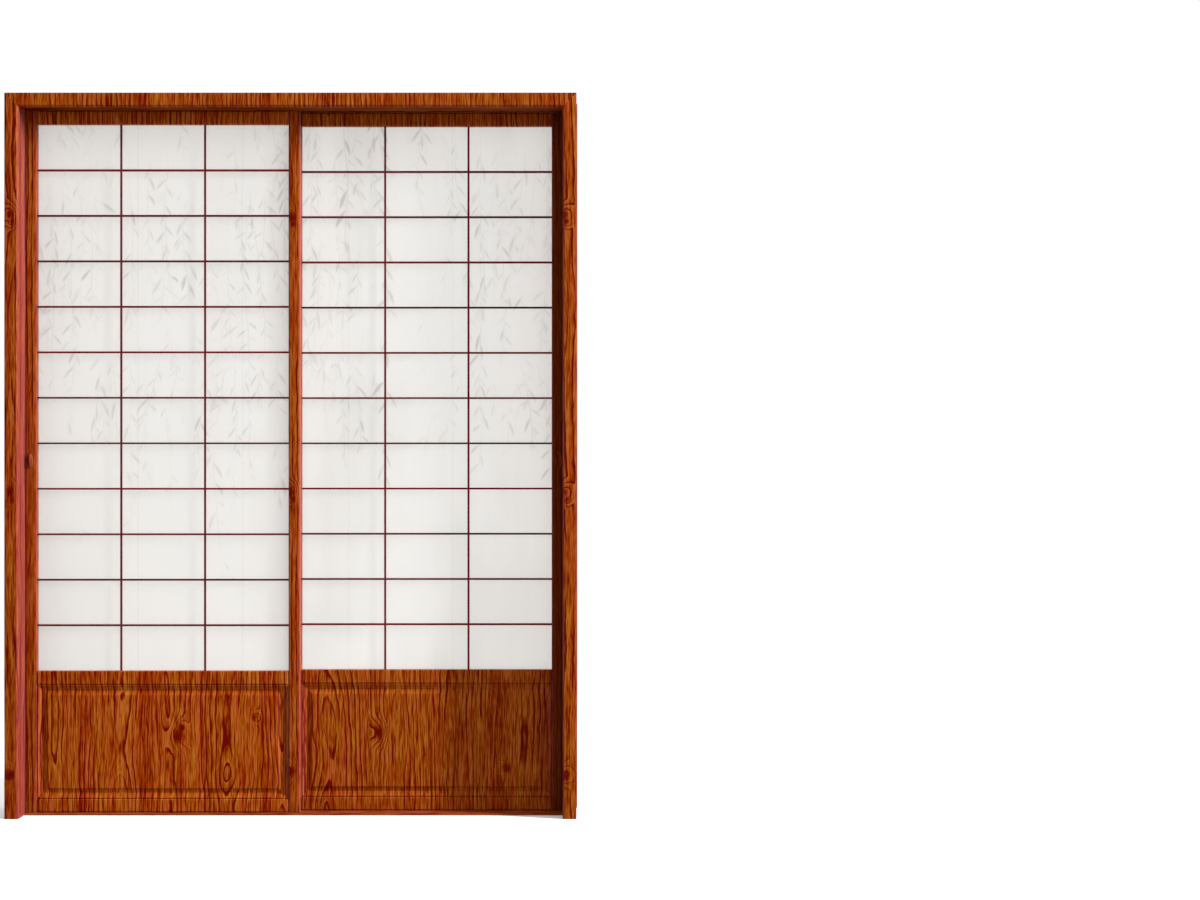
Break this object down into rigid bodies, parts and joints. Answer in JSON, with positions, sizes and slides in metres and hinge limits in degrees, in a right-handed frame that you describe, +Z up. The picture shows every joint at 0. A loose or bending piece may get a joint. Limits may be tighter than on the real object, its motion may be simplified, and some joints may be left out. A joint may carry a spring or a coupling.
{
  "type": "wooden sliding door",
  "caption": "Sliding wooden door whose papered lattice leaves, with raised lower panels, pass each other in the grooves of a cased timber frame.",
  "frame": {"origin": "on the floor, under the middle of the doorway and of the frame's depth", "axes": "+X to the right seen from the front, +Y from the front to the back, +Z up"},
  "size_m": [1.654, 0.214, 2.1],
  "materials": {
    "casing_timber": "satin lacquer, reddish brown",
    "lining_timber": "satin lacquer, reddish brown",
    "threshold_timber": "satin lacquer, polished by the leaves in its grooves",
    "leaf_timber": "satin lacquer, reddish brown",
    "lattice_timber": "satin lacquer",
    "panel_timber": "satin lacquer, jointed from boards",
    "pull_timber": "satin lacquer, smoothed by hands",
    "paper": "matt laminated paper with faint long fibres"
  },
  "bodies": {
    "frame": {"threshold": "threshold_timber", "head": "lining_timber", "left_jamb": "lining_timber", "right_jamb": "lining_timber", "front_head_casing": "casing_timber", "front_left_casing": "casing_timber", "front_right_casing": "casing_timber", "back_head_casing": "casing_timber", "back_left_casing": "casing_timber", "back_right_casing": "casing_timber"},
    "front_leaf": {"front_leaf_left_stile": "leaf_timber", "front_leaf_right_stile": "leaf_timber", "front_leaf_bottom_rail": "leaf_timber", "front_leaf_middle_rail": "leaf_timber", "front_leaf_top_rail": "leaf_timber", "front_leaf_upright_1": "lattice_timber", "front_leaf_upright_2": "lattice_timber", "front_leaf_crossbar_01": "lattice_timber", "front_leaf_crossbar_02": "lattice_timber", "front_leaf_crossbar_03": "lattice_timber", "front_leaf_crossbar_04": "lattice_timber", "front_leaf_crossbar_05": "lattice_timber", "front_leaf_crossbar_06": "lattice_timber", "front_leaf_crossbar_07": "lattice_timber", "front_leaf_crossbar_08": "lattice_timber", "front_leaf_crossbar_09": "lattice_timber", "front_leaf_crossbar_10": "lattice_timber", "front_leaf_crossbar_11": "lattice_timber", "front_leaf_paper": "paper", "front_leaf_panel": "panel_timber", "front_leaf_moulding_left": "panel_timber", "front_leaf_moulding_right": "panel_timber", "front_leaf_moulding_bottom": "panel_timber", "front_leaf_moulding_top": "panel_timber", "front_leaf_pull": "pull_timber"},
    "rear_leaf": {"rear_leaf_left_stile": "leaf_timber", "rear_leaf_right_stile": "leaf_timber", "rear_leaf_bottom_rail": "leaf_timber", "rear_leaf_middle_rail": "leaf_timber", "rear_leaf_top_rail": "leaf_timber", "rear_leaf_upright_1": "lattice_timber", "rear_leaf_upright_2": "lattice_timber", "rear_leaf_crossbar_01": "lattice_timber", "rear_leaf_crossbar_02": "lattice_timber", "rear_leaf_crossbar_03": "lattice_timber", "rear_leaf_crossbar_04": "lattice_timber", "rear_leaf_crossbar_05": "lattice_timber", "rear_leaf_crossbar_06": "lattice_timber", "rear_leaf_crossbar_07": "lattice_timber", "rear_leaf_crossbar_08": "lattice_timber", "rear_leaf_crossbar_09": "lattice_timber", "rear_leaf_crossbar_10": "lattice_timber", "rear_leaf_crossbar_11": "lattice_timber", "rear_leaf_paper": "paper", "rear_leaf_panel": "panel_timber", "rear_leaf_moulding_left": "panel_timber", "rear_leaf_moulding_right": "panel_timber", "rear_leaf_moulding_bottom": "panel_timber", "rear_leaf_moulding_top": "panel_timber", "rear_leaf_pull": "pull_timber"}
  },
  "joints": [
    {"name": "front_leaf_slide", "type": "slide", "parent": "frame", "child": "front_leaf", "axis": [1, 0, 0], "range_m": [0, 0.7695]},
    {"name": "rear_leaf_slide", "type": "slide", "parent": "frame", "child": "rear_leaf", "axis": [-1, 0, 0], "range_m": [0, 0.7695]}
  ]
}
